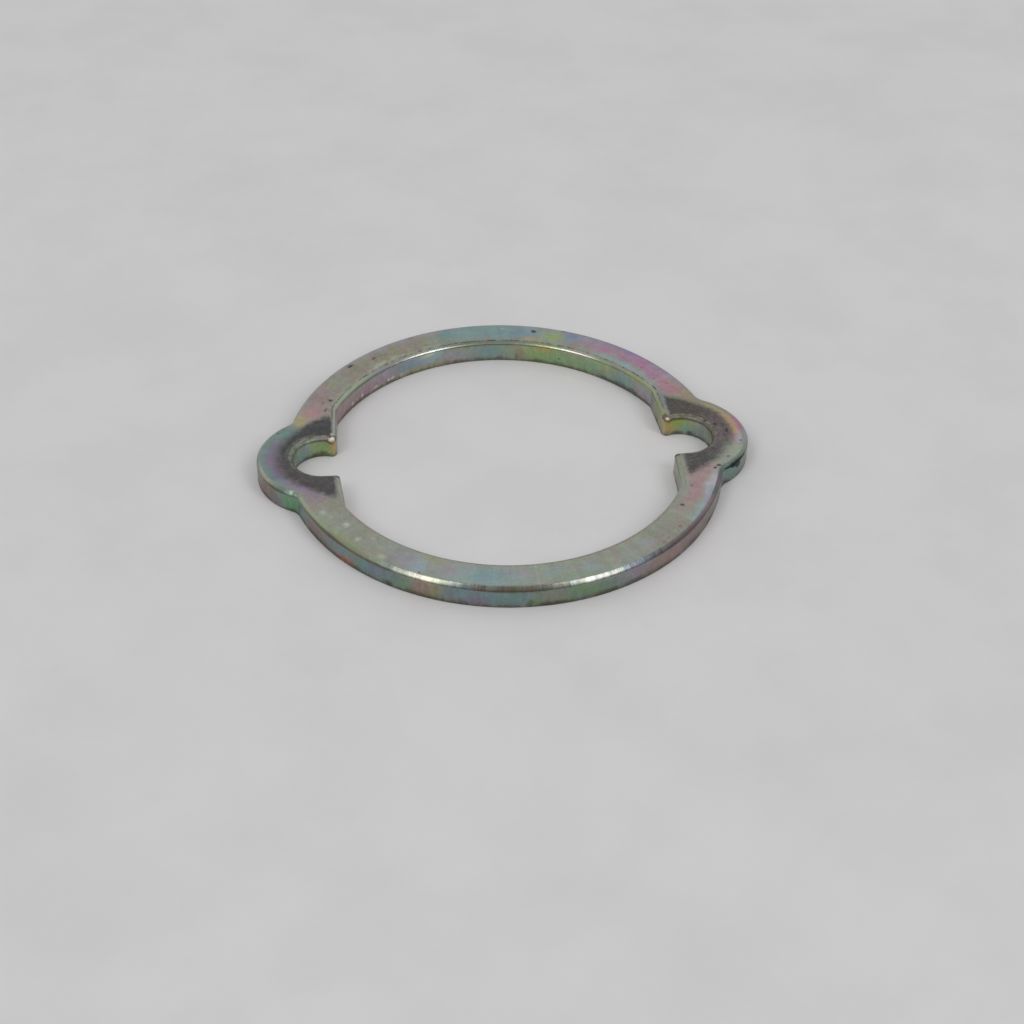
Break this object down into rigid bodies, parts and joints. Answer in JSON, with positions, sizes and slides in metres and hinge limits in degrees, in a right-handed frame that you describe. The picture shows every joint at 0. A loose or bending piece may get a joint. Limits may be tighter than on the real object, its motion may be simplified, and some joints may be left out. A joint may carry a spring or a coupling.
{
  "type": "washer",
  "caption": "Stamped steel ring washer with opposite round lobes, each notched for a bolt and open to the central hole; rolled upper edges and yellow zinc plating.",
  "frame": {"origin": "on the washer's axis, in the plane of its underside", "axes": "+X through both lobes, +Z along the washer's axis, out of the face with the rolled edges"},
  "size_m": [0.0544, 0.048, 0.0026],
  "materials": {
    "zinc_plate": "iridescent yellow zinc plate over stamped steel, worn and stained round the notches"
  },
  "bodies": {
    "root": {"washer": "zinc_plate"}
  },
  "joints": []
}
